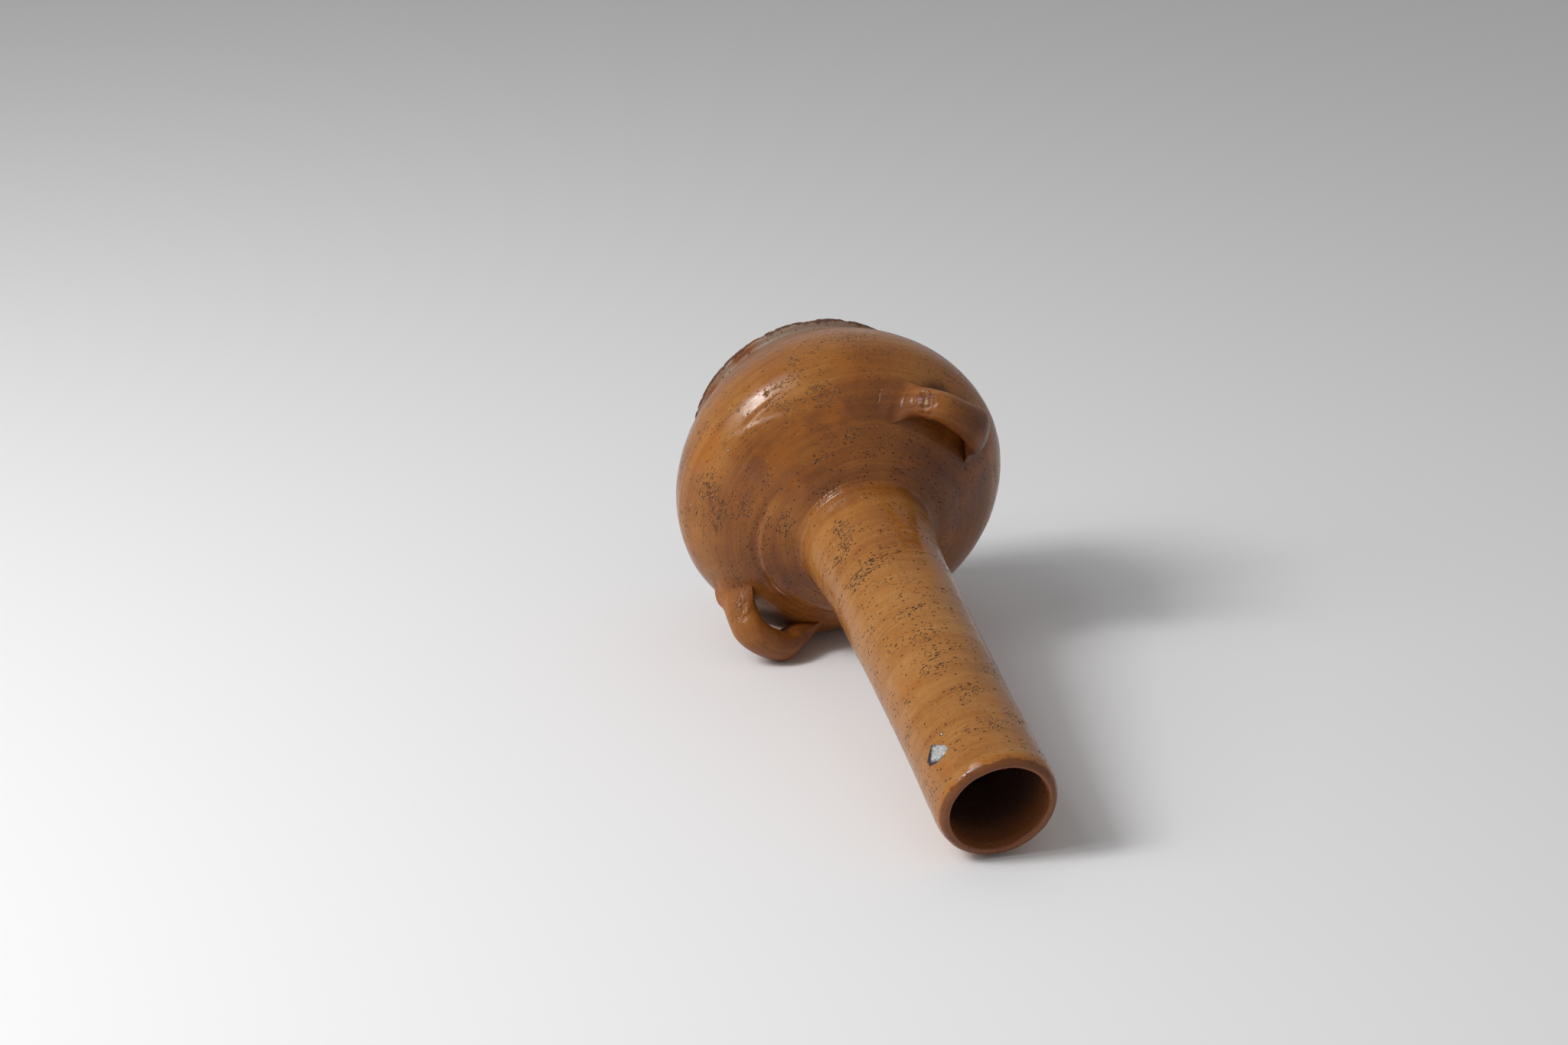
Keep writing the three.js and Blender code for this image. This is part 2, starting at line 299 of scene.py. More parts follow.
def shoulder_skin(points):
    """The body's outside with what shows through the skirt that lies on it."""
    inward, rise = ledge(points)
    valley = 0.5 * rise * bell(inward, -2.6, 2.2)
    swell = 1.8 * near(points, HANDLE_SWELL, 38)
    marks_left = shoulder_ridge(points) + shoulder_score(points) + swell
    return hand_relief(points) + marks_left - valley


def body_relief(points):
    """The globe's skin, with finer rings low down, kept inside its widest radius."""
    low = 1 - smooth_step(FOOT_HEIGHT + 3.5, FOOT_HEIGHT + 25.5, points[:, 2])
    relief = shoulder_skin(points) + 0.18 * low * throwing_rings(points, 2.6, 9)
    room = 0.3 * np.maximum(np.abs(points[:, 2] - BELLY_HEIGHT) - 6, 0)
    return np.minimum(relief, room - 0.02)


def neck_skin(points):
    """Lumps and rings up the neck, and the seam, open here and there and drawn as a line."""
    lumps = layers(noise, points, (0.3, 48, 31), (0.18, 20, 32), (0.08, 8, 33))
    rings = layers(throwing_rings, points, (0.1, 7, 34), (0.05, 2.6, 35))
    open_seam = bell(points[:, 2], SEAM_HEIGHT, 1.8)
    open_seam = open_seam * smooth_step(0.1, 0.8, noise(points, 9, 23))
    drawn = between(azimuth_of(points), -172, -160, -124, -112)
    line = drawn * bell(points[:, 2], SEAM_HEIGHT, 0.8)
    return -0.35 + lumps + rings - 0.3 * open_seam - 0.4 * line


def neck_crease(points):
    """The sharp crease that shows where the neck stands on the shoulder, on the near side."""
    above = points[:, 2] - CREASE_HEIGHT
    groove = 0.4 * bell(above, 0, 0.9)
    roll = 2.3 * between(above, -0.4, 1, 1.2, 16.2)
    return between(azimuth_of(points), -140, -118, -88, -66) * (roll - groove)


def under_skirt(points):
    """The places on the bare shoulder that lie under points on top of the skirt."""
    over = beside(SHOULDER, SKIRT_THICK)[::-1]
    bare = SHOULDER[::-1]
    radius = radius_of(points)
    bare_radius = np.interp(radius, over[:, 0], bare[:, 0])
    bare_height = np.interp(radius, over[:, 0], bare[:, 1])
    return np.column_stack((points[:, :2] * (bare_radius / radius)[:, None], bare_height))


def collar_relief(points):
    """The skirt, whose edge stands up as the ledge and then sinks in, and the stub above it."""
    bare = under_skirt(points)
    inward, rise = ledge(bare)
    step = rise * smooth_step(-1.1, 1.3, inward)
    swell = (SKIRT_THICK - rise) * smooth_step(-8, 10, inward)
    buried = 0.1 * (1 - smooth_step(-9, -6, inward))
    skirt = shoulder_skin(bare) - SKIRT_THICK + step + swell - buried
    cove_edge = COVE_RADIUS + COVE_RUN
    flat = smooth_step(cove_edge, cove_edge + 4, radius_of(points))
    stub = smooth_step(COVE_HEIGHT - 1, COVE_HEIGHT + 24, points[:, 2])
    root = hand_relief(points) * (1 - stub) + neck_skin(points) * stub + neck_crease(points)
    return root + (skirt - root) * flat


def neck_relief(points):
    """The neck's skin with the spall broken out of it, and an uneven lip."""
    u = (azimuth_of(points) - SPALL_AZIMUTH) * math.radians(MOUTH_RADIUS)
    v = points[:, 2] - SPALL_HEIGHT
    outside = np.max([u * out_u + v * out_v - far for out_u, out_v, far in spall_sides()], axis=0)
    chipped = 1 - smooth_step(-1.2, 0.3, outside + 0.5 * noise(points, 3, 36))
    relief = neck_skin(points) - 0.6 * chipped * (1 + 0.4 * noise(points, 2, 37))
    lip_foot = MOUTH_HEIGHT - LIP_ROLL
    relief = np.minimum(relief, 0.3 * np.maximum(lip_foot - points[:, 2], 0))
    on_lip = smooth_step(lip_foot - 4, lip_foot + 4, points[:, 2])
    return relief + 0.22 * on_lip * (noise(points, 6, 38) - 1)


def foot_relief(points):
    """Broad bites and small nicks out of the foot's lower edge."""
    low = 1 - smooth_step(FOOT_EDGE - 1.5, FOOT_EDGE + 2.5, points[:, 2])
    bites = 1.2 * smooth_step(0.2, 0.9, noise(points, 12, 41))
    nicks = 0.6 * smooth_step(0.2, 0.9, noise(points, 3.5, 42))
    lumps = layers(noise, points, (0.3, 30, 43), (0.15, 12, 44))
    return np.minimum(-0.35 + lumps - low * (bites + nicks), 0)


def inner_relief(points):
    return 0.25 * noise(points, 30, 51) + 0.15 * throwing_rings(points, 8, 52)


# Meshes

def put_in_scene(name, data):
    made = bpy.data.objects.new(name, data)
    bpy.context.scene.collection.objects.link(made)
    return made


def make_piece(name, points, faces, material):
    mesh = bpy.data.meshes.new(name)
    places = (np.asarray(points) * MILLIMETRE).tolist()
    mesh.from_pydata(places, [], [list(map(int, face)) for face in faces])
    mesh.update()
    mesh.polygons.foreach_set("use_smooth", [True] * len(mesh.polygons))
    mesh.materials.append(material)
    return put_in_scene(name, mesh)


def grid_faces(rows, columns, loop):
    """Faces of rows of points that close on themselves sideways, and end to end if loop."""
    row = np.arange(rows if loop else rows - 1)[:, None]
    column = np.arange(columns)[None, :]
    after_row = (row + 1) % rows
    after_column = (column + 1) % columns
    corners = (
        row * columns + column,
        row * columns + after_column,
        after_row * columns + after_column,
        after_row * columns + column,
    )
    return np.stack([c.ravel() for c in np.broadcast_arrays(*corners)], axis=1)


def turn(stretches, turns, closed):
    """Points and faces of an outline turned round the axis. Each stretch of the outline has
    its own relief. A closed outline is a ring, and an open one starts and ends on the axis."""
    angle = np.linspace(0, 2 * math.pi, turns, endpoint=False)

    def spun(line):
        radius, height = line[:, :1], line[:, 1:]
        spread = (radius * np.cos(angle), radius * np.sin(angle), height + 0 * angle)
        return np.dstack(spread).reshape(-1, 3)

    skins = []
    for line, relief in stretches:
        skin = spun(line)
        if relief is not None:
            skin += relief(skin)[:, None] * spun(outwards_of(line))
        skins.append(skin)
    points = np.concatenate(skins)
    return points, grid_faces(len(points) // turns, turns, closed)


def fill_ends(points, faces, turns):
    """Closes an open turned skin with a fan at each end."""
    middles = np.array([points[:turns].mean(0), points[-turns:].mean(0)])
    count = len(points)
    last = count - turns
    column = np.arange(turns)
    after = (column + 1) % turns
    low = np.column_stack((np.full(turns, count), after, column))
    high = np.column_stack((np.full(turns, count + 1), last + column, last + after))
    return np.concatenate((points, middles)), faces.tolist() + low.tolist() + high.tolist()


def base_disc(material):
    middle = (FOOT_EDGE + FOOT_HEIGHT) / 2
    flare = bezier(
        (FOOT_RADIUS, FOOT_EDGE),
        (FOOT_RADIUS, middle),
        (WAIST_RADIUS, middle),
        (WAIST_RADIUS, FOOT_HEIGHT),
    )
    under = [(FAN_RADIUS, 0), (FOOT_RADIUS - FOOT_BEVEL, 0)]
    edge = [under[-1], (FOOT_RADIUS, FOOT_BEVEL), (FOOT_RADIUS, FOOT_EDGE), *flare]
    top = [(WAIST_RADIUS, FOOT_HEIGHT), (FAN_RADIUS, FOOT_HEIGHT)]
    stretches = [
        (spaced(under, UNDER_STEP)[:-1], None),
        (spaced(edge, FOOT_STEP), foot_relief),
        (spaced(top, FOOT_TOP_STEP)[1:], None),
    ]
    points, faces = turn(stretches, FOOT_TURNS, closed=False)
    return make_piece("foot", *fill_ends(points, faces, FOOT_TURNS), material)


def body_shell(material):
    inside = beside(GLOBE, -BODY_WALL)[::-1]
    inside = inside[inside[:, 1] > FOOT_HEIGHT + 3]
    floor_radius = WAIST_RADIUS - BODY_WALL - FLOOR_FILLET
    stretches = [
        (np.array([(floor_radius, FOOT_HEIGHT)]), None),
        (spaced(GLOBE, FINE), body_relief),
        (np.array([(COLLAR_BORE, SEAT_HEIGHT), (COLLAR_BORE, inside[0][1])]), None),
        (spaced(inside, COARSE)[1:], inner_relief),
    ]
    return make_piece("globe", *turn(stretches, BODY_TURNS, closed=True), material)


def neck_collar(material):
    skirt = SHOULDER[SHOULDER[:, 0] < SKIRT_RADIUS + SKIRT_OVER]
    under = beside(skirt, -SKIRT_SINK)[::-1]
    over = beside(skirt, SKIRT_THICK)
    over = over[over[:, 0] > COVE_RADIUS + COVE_RUN]
    foot, before = over[-1], over[-2]
    inwards = (foot - before) / np.linalg.norm(foot - before) * COVE_RUN / 2
    cove = bezier(
        foot,
        foot + inwards,
        (COVE_RADIUS, COVE_HEIGHT - COVE_SWEEP / 2),
        (COVE_RADIUS, COVE_HEIGHT),
    )
    stub = bezier(
        (COVE_RADIUS, COVE_HEIGHT),
        (COVE_RADIUS, COVE_HEIGHT + COVE_SWEEP),
        (SEAM_RADIUS, SEAM_HEIGHT - COLLAR_TAPER),
        (SEAM_RADIUS, SEAM_HEIGHT - SEAM_CRACK),
    )
    bore = bezier(
        (SEAM_RADIUS - NECK_WALL, SEAM_HEIGHT),
        (SEAM_RADIUS - NECK_WALL, SEAM_HEIGHT - COLLAR_TAPER),
        (COLLAR_BORE, COVE_HEIGHT + COVE_SWEEP),
        (COLLAR_BORE, SEAT_HEIGHT),
    )
    outside = with_crisp_ends(spaced(np.concatenate((over, cove[1:], stub[1:])), FINE))
    stretches = [
        (spaced(under, COARSE), hand_relief),
        (outside, collar_relief),
        (np.array([(SEAM_RADIUS - SEAM_DEPTH, SEAM_HEIGHT)]), None),
        (spaced(bore, COARSE), inner_relief),
    ]
    return make_piece("collar", *turn(stretches, COLLAR_TURNS, closed=True), material)


def neck_tube(material):
    heights = np.linspace(SEAM_HEIGHT + SEAM_CRACK, MOUTH_HEIGHT - LIP_ROLL, 120)
    knots = (SEAM_HEIGHT, NECK_WAIST_HEIGHT, MOUTH_HEIGHT)
    curve = np.polyfit(knots, (SEAM_RADIUS, NECK_WAIST_RADIUS, MOUTH_RADIUS), 2)
    side = np.column_stack((np.polyval(curve, heights), heights))
    outer_middle = (MOUTH_RADIUS - LIP_OUTER_ROUND, MOUTH_HEIGHT - LIP_ROLL)
    inner_middle = (BORE_RADIUS + LIP_INNER_ROUND, MOUTH_HEIGHT - LIP_INNER_ROLL)
    lip = np.concatenate((
        oval(outer_middle, LIP_OUTER_ROUND, LIP_ROLL, 0, 90),
        oval(inner_middle, LIP_INNER_ROUND, LIP_INNER_ROLL, 90, 180),
    ))
    mouth = [(BORE_RADIUS, MOUTH_HEIGHT - depth) for depth in (LIP_INNER_ROLL, STRAIGHT_BORE)]
    bore = [mouth[-1], (SEAM_RADIUS - NECK_WALL, SEAM_HEIGHT)]
    stretches = [
        (np.array([(SEAM_RADIUS - SEAM_DEPTH, SEAM_HEIGHT)]), None),
        (with_crisp_ends(spaced(side, FINE))[:-1], neck_relief),
        (spaced(lip, LIP_STEP), neck_relief),
        (spaced(mouth, MOUTH_STEP)[1:], inner_relief),
        (spaced(bore, COARSE)[1:], inner_relief),
    ]
    return make_piece("neck", *turn(stretches, NECK_TURNS, closed=True), material)


# Ear handles

def shoulder_radius(height):
    return np.interp(height, SHOULDER[:, 1], SHOULDER[:, 0])


def outside_distance(points):
    """How far points stand off the turned shoulder, and the way outwards there."""
    flat = np.column_stack((radius_of(points), points[:, 2]))
    outline = spaced(GLOBE[20:], 0.5)
    nearest = np.array([np.argmin(((outline - p) ** 2).sum(1)) for p in flat])
    way = outwards_of(outline)[nearest]
    distance = ((flat - outline[nearest]) * way).sum(1)
    compass = points[:, :2] / flat[:, :1]
    return distance, np.column_stack((compass * way[:, :1], way[:, 1]))


def blend(a, b, start, end, t):
    """Straight from a at the start to b at the end."""
    return (end - t) / (end - start) * a + (t - start) / (end - start) * b


def catmull_rom(knots, count):
    """A smooth centripetal line through the knots, at equal steps, and its length."""
    knots = np.array(knots, float)
    knots = np.concatenate(([2 * knots[0] - knots[1]], knots, [2 * knots[-1] - knots[-2]]))
    line = []
    for a, b, c, d in zip(knots, knots[1:], knots[2:], knots[3:]):
        t1, t2, t3 = np.cumsum([np.linalg.norm(step) ** 0.5 for step in (b - a, c - b, d - c)])
        t = np.linspace(t1, t2, 40, endpoint=False)[:, None]
        ab, bc, cd = blend(a, b, 0, t1, t), blend(b, c, t1, t2, t), blend(c, d, t2, t3, t)
        abc, bcd = blend(ab, bc, 0, t2, t), blend(bc, cd, t1, t3, t)
        line.append(blend(abc, bcd, t1, t2, t))
    line = np.concatenate((*line, knots[-2:-1]))
    along = np.concatenate(([0], np.cumsum(np.linalg.norm(np.diff(line, axis=0), axis=1))))
    places = np.linspace(0, along[-1], count)
    return np.column_stack([np.interp(places, along, line[:, k]) for k in range(3)]), along[-1]


def strap_route(ear, contact, outwards):
    """The middle line of a strap right of the vase and its length, from the front pad over the
    loop to the rear pad, sinking into the shoulder at both ends."""
    half = ear.span / 2
    crown = ear.reach - ear.thick / 2

    def in_air(sideways, lift):
        return contact + np.array((0, sideways, 0)) + outwards * lift

    def on_clay(sideways, lift):
        depth = 0
        for _ in range(30):
            probe = in_air(sideways, -depth)
            gap = math.hypot(probe[0], sideways) - shoulder_radius(probe[2])
            depth += gap * outwards[0]
        return in_air(sideways, lift - depth)

    return catmull_rom(
        [
            on_clay(-half - ear.front_length - PAD_OVER, -PAD_SINK),
            on_clay(-half - ear.front_length * 0.55 + ear.set_in, 0.8),
            in_air(-half + ear.set_in * 0.6, crown / 2),
            in_air(-LOOP_CROWN / 2, crown),
            in_air(LOOP_CROWN / 2, crown),
            in_air(half, crown / 2),
            on_clay(half + ear.rear_length * 0.45, 0.5),
            on_clay(half + ear.rear_length + PAD_OVER, -PAD_SINK),
        ],
        STRAP_STEPS,
    )


def strap_skin(ear, route, length, across):
    """Points on the skin of a strap right of the vase, the way outwards at each, how far each
    is from the strap's end and from its nearer side, and which are underneath."""
    t = np.linspace(0, 1, STRAP_STEPS)
    from_end = np.minimum(t, 1 - t) * length
    pad_length = np.where(t < 0.5, ear.front_length, ear.rear_length)
    in_pad = 1 - smooth_step(pad_length / 2, pad_length + ear.reach / 2, from_end)
    tip = np.maximum(1 - (1 - np.minimum(1, from_end / PAD_ROUND)) ** 2, 0.03)
    growth = smooth_step(-3, 21, from_end)
    pad_width = np.where(t < 0.5, FRONT_PAD_WIDTH, ear.rear_width) + PAD_OVER
    swell = ear.swell * smooth_step(0.42, 0.68, t) * (1 - in_pad)
    trim = np.where(t < 0.5, ear.front_trim, 0) * in_pad
    width = (ear.width + (pad_width - ear.width) * in_pad + swell - trim) * np.sqrt(tip)
    thick = (ear.thick + (PAD_THICK - ear.thick) * in_pad) * growth
    along = np.gradient(route, axis=0)
    lift = np.cross(across, along)
    lift /= np.linalg.norm(lift, axis=1)[:, None]
    angle = np.linspace(0, 2 * math.pi, STRAP_SIDES, endpoint=False)
    wide = width[:, None] / 2 * np.cos(angle)
    thinned = np.abs(np.sin(angle)) ** (1.5 * in_pad[:, None])
    high = thick[:, None] / 2 * np.sin(angle) * thinned
    middle = route - trim[:, None] / 2 * across
    points = middle[:, None] + wide[..., None] * across + high[..., None] * lift[:, None]
    normals = np.cos(angle)[None, :, None] * across / width[:, None, None]
    normals = normals + np.sin(angle)[None, :, None] * lift[:, None] / thick[:, None, None]
    normals = normals.reshape(-1, 3)
    normals = normals / np.linalg.norm(normals, axis=1)[:, None]
    from_side = width[:, None] / 2 * (1 - np.abs(np.cos(angle)))
    from_end = np.repeat(from_end, STRAP_SIDES)
    underneath = np.tile(np.sin(angle) <= 0, STRAP_STEPS)
    return points.reshape(-1, 3), normals, from_end, from_side.ravel(), underneath


# Blistered places on the straps, as azimuth, radius, height, reach, size of lump and how rough,
# and, as azimuth, radius and height, the pit and the pale scar there, partly bare clay and partly
# a painted highlight, and the edge of the left front pad, which was cut and not smeared
BLISTERS = ((-164.5, 97, 127, 14, 2.4, 0.8), (-17, 95, 122, 14, 2.4, 0.7))
THUMB_PIT = (-163.3, 100, 122.4)
SCAR_AND_GLINT = (-164.7, 97, 128)
CRISP_EDGE = (-157, 92, 107)

# How high a pad stands at its end, how steeply it climbs from there, and how much more so on
# the way to the strap
PAD_EDGE, PAD_SLOPE, PAD_CURVE = 0.4, 0.12, 0.014


def ear_handle(name, ear, seed, material):
    """A strap bent along its route, then settled on the globe's own skin at its pads."""
    contact = np.array((shoulder_radius(ear.height), 0, ear.height))
    tilt = math.radians(ear.tilt)
    outwards = np.array((math.cos(tilt), 0, math.sin(tilt)))
    across = np.array((math.sin(tilt), 0, -math.cos(tilt)))
    route, length = strap_route(ear, contact, outwards)
    points, normals, from_end, from_side, underneath = strap_skin(ear, route, length, across)
    points[:, 0] *= ear.side
    normals[:, 0] *= ear.side
    relief = layers(noise, points, (0.34, 16, seed), (0.2, 7, seed + 1)) - 0.38
    blistered = 0
    for *where, reach, size, rough in BLISTERS:
        spot = smooth_step(0.1, 0.5, near(points, where, reach))
        blistered = blistered + rough * spot * noise(points, size, seed + 2)
    pit = near(points, THUMB_PIT, 3.8)
    points += np.minimum(relief, 0.1)[:, None] * normals

    distance, way = outside_distance(points)
    above = distance - body_relief(points - distance[:, None] * way)
    set_in = np.where(points[:, 1] < 0, ear.set_in, 0)
    in_pad = 1 - smooth_step(3, 17, from_end - set_in)
    ragged = 1.5 * noise(points, 6, seed + 3)
    inside = np.where(underneath, -5, np.minimum(from_side, from_end) + ragged)
    crisp = near(points, CRISP_EDGE, 19)
    climb = PAD_EDGE + PAD_SLOPE * from_end + PAD_CURVE * from_end ** 2
    pad = climb * smooth_step(-1, 13, from_side + ragged)
    pad = pad + 1.1 * crisp * smooth_step(0, 0.7, inside)
    pad = np.where(inside > 0, pad + 0.25 * noise(points, 9, seed + 4), -0.6)
    settled = above + (pad - above) * in_pad
    points += (settled - above)[:, None] * way
    points += (blistered - 1.6 * pit)[:, None] * normals

    faces = grid_faces(STRAP_STEPS, STRAP_SIDES, False)
    points, faces = fill_ends(points, faces, STRAP_SIDES)
    if ear.side > 0:
        faces = [face[::-1] for face in faces]
    return make_piece(name, points, faces, material)


# Shading

class Shader:
    """The node tree of a material or a world, written as sums. Lengths are in millimetres."""

    def __init__(self, owner):
        owner.use_nodes = True
        self.tree = owner.node_tree
        self.tree.nodes.clear()

    def node(self, kind, **settings):
        made = self.tree.nodes.new(kind)
        for key, value in settings.items():
            setattr(made, key, value)
        return made

    def feed(self, socket, value):
        if isinstance(value, bpy.types.NodeSocket):
            self.tree.links.new(value, socket)
        else:
            socket.default_value = value

    def filled(self, made, *values, **named):
        """The first output of a node, with its inputs fed in order or by name."""
        for socket, value in zip(made.inputs, values):
            self.feed(socket, value)
        for name, value in named.items():
            self.feed(made.inputs[name], value)
        return made.outputs[0] if made.outputs else None

    def sum(self, operation, *values):
        return self.filled(self.node("ShaderNodeMath", operation=operation), *values)

    def times(self, first, second):
        return self.sum("MULTIPLY", first, second)

    def less(self, first, second):
        return self.sum("SUBTRACT", first, second)

    def most(self, first, second):
        return self.sum("MAXIMUM", first, second)

    def added(self, value, share, total):
        """The total and the share of the value that is added to it."""
        return self.sum("MULTIPLY_ADD", value, share, total)

    def range(self, value, low, high, to_low=0.0, to_high=1.0):
        made = self.node("ShaderNodeMapRange", interpolation_type="SMOOTHSTEP")
        return self.filled(made, value, low, high, to_low, to_high)

    def colour(self, share, first, second):
        made = self.node("ShaderNodeMix", data_type="RGBA")
        self.feed(made.inputs[0], share)
        self.feed(made.inputs[6], first)
        self.feed(made.inputs[7], second)
        return made.outputs[2]

    def paint(self, colour, tint, mask, share):
        """The colour with a share of the tint over it where the mask is."""
        return self.colour(self.times(mask, share), colour, tint)

    def vector(self, x, y, z):
        return self.filled(self.node("ShaderNodeCombineXYZ"), x, y, z)

    def noise(self, vector, size, detail=2.0, roughness=0.5, distortion=0.0, output=0):
        made = self.node("ShaderNodeTexNoise")
        self.filled(made, Vector=vector, Scale=1 / size, Detail=detail, Roughness=roughness)
        self.filled(made, Distortion=distortion)
        return made.outputs[output]

    def cells(self, vector, size):
        """Distance to the middle of a scattered cell, in cells, and two random numbers for it."""
        made = self.node("ShaderNodeTexVoronoi")
        distance = self.filled(made, Vector=vector, Scale=1 / size)
        random = self.node("ShaderNodeSeparateColor")
        self.filled(random, made.outputs["Color"])
        return distance, random.outputs[0], random.outputs[1]

    def spot(self, at, where, reach):
        """1 at a place on the vase, falling smoothly to 0 at the reach."""
        made = self.node("ShaderNodeVectorMath", operation="DISTANCE")
        self.filled(made, at.position, tuple(place(*where)))
        return self.range(made.outputs["Value"], reach, 0.0)

    def spots(self, at, places, total):
        """The total with a share added round each place."""
        for *where, reach, share in places:
            total = self.added(self.spot(at, where, reach), share, total)
        return total


def rgb(red, green, blue):
    return (red, green, blue, 1.0)


DEEP = rgb(0.135, 0.041, 0.012)
BROWN = rgb(0.27, 0.084, 0.013)
HONEY = rgb(0.395, 0.162, 0.033)
PALE = rgb(0.5, 0.25, 0.085)
ORANGE = rgb(0.44, 0.135, 0.014)
ASH_AND_SHEEN = rgb(0.29, 0.21, 0.155)
PIT = rgb(0.03, 0.01, 0.006)
# Painted shade behind the straps
STRAP_SHADE_COLOUR = rgb(0.045, 0.015, 0.007)
RIM_CLAY = rgb(0.1, 0.034, 0.018)
BARE_CLAY = rgb(0.62, 0.5, 0.38)
SCAR_AND_GLINT_CLAY = rgb(0.6, 0.42, 0.2)
BLISTER = rgb(0.13, 0.055, 0.05)
SPALL_CORE = rgb(0.62, 0.61, 0.59)
SPALL_GREY = rgb(0.2, 0.2, 0.21)
SPALL_EDGE_SHADE = rgb(0.03, 0.029, 0.034)
MOUTH_PAINTED_SHADE = rgb(0.085, 0.042, 0.034)
LIP_BROWN_AND_SHADE = rgb(0.16, 0.044, 0.011)
BORE_BROWN = rgb(0.26, 0.09, 0.035)
GLAZE_IOR = 1.4

# Places with many marks: azimuth, radius, height, reach and how much more
BODY_CROWDED = (
    (-69, 97, 101, 20, 0.24), (-60, 90, 108, 18, 0.2), (-67, 78, 118, 12, 0.25),
    (-122, 64, 129, 14, 0.22), (-135, 106, 71, 20, 0.24), (-122, 106, 82, 16, 0.22),
    (-112, 101, 95, 14, 0.24), (-114, 94, 104, 12, 0.24), (-128, 94, 105, 18, 0.32),
    (-134, 68, 124, 14, 0.24), (-146, 106, 72, 18, 0.22), (-88, 104, 88, 14, 0.2),
)
NECK_CROWDED = (
    (-64, 61, 130, 14, 0.22), (-66, 52, 134, 16, 0.06), (-98, 39, 171, 14, 0.2),
    (-110, 39, 171, 12, 0.2), (-95, 38, 185, 14, 0.2), (-108, 37, 204, 14, 0.32),
    (-124, 37, 202, 14, 0.3), (-92, 37, 211, 12, 0.28), (-138, 36, 235, 14, 0.22),
    (-119, 35, 259, 16, 0.22), (-135, 35, 280, 18, 0.22), (-158, 35, 300, 18, 0.22),
    (-119, 35, 311, 16, 0.22), (-138, 35, 338, 16, 0.22), (-146, 35, 370, 18, 0.22),
)

# Painted shade on the glaze in the hollows behind the straps, where it is also dull, and bare
# flecks with a dark ring round them, of which the one on the belly is a painted highlight:
# azimuth, radius, height, reach
PAINTED_SHADE_BEHIND_STRAPS = ((4, 97, 108, 27), (-176, 95, 110, 22))
FLECKS_AND_GLINT = ((-100.6, 35, 362.5, 1.9), (-107.2, 35, 346.3, 1.0), (-85.8, 96.8, 101, 1.3))

# Spots painted paler or darker, partly the glaze's own tone and partly painted light and shade, as
# on the side turned from the lamp: azimuth, radius, height, reach, how much
TONES_AND_PAINTED_SHADE = (
    (-75, 52, 133, 40, 0.2), (150, 80, 118, 75, -0.16), (-146, 98, 99, 38, -0.24),
    (-148, 38, 188, 50, -0.24), (-150, 78, 118, 30, -0.12), (-122, 62, 129, 26, 0.08),
    (-10, 98, 124, 30, 0.28), (-60, 106, 80, 42, -0.1), (-125, 104, 56, 42, -0.1),
    (-100, 55, 133, 22, -0.14), (-23, 65, 128, 24, -0.14), (-138, 35, 378, 26, -0.12),
    (-170, 102, 130, 24, 0.16), (-156, 86, 113, 18, -0.06), (-130, 89, 109, 22, -0.12),
    (-108, 68, 124, 20, 0.1), (-20, 58, 131, 30, -0.1),
)


def measures(s):
    """Where a point lies on the vase, in millimetres, to paint by. The last three are places
    squeezed together round the vase, so that what is painted by them is drawn out that way."""
    metres = s.node("ShaderNodeTexCoord").outputs["Object"]
    scaled = s.node("ShaderNodeVectorMath", operation="SCALE")
    position = s.filled(scaled, metres, Scale=1 / MILLIMETRE)
    split = s.node("ShaderNodeSeparateXYZ")
    s.filled(split, position)
    x, y, z = split.outputs
    radius = s.sum("SQRT", s.sum("ADD", s.times(x, x), s.times(y, y)))
    side = s.sum("SIGN", s.less(z, BELLY_HEIGHT))
    along = s.added(side, s.less(BELLY_RADIUS, radius), z)
    return SimpleNamespace(
        position=position, z=z, radius=radius, along=along, azimuth=s.sum("ARCTAN2", y, x),
        banded=s.vector(x, y, s.times(along, 1.7)),
        squashed=s.vector(s.times(x, 0.45), s.times(y, 0.45), along),
        ringed=s.vector(s.times(x, 0.045), s.times(y, 0.045), along),
    )


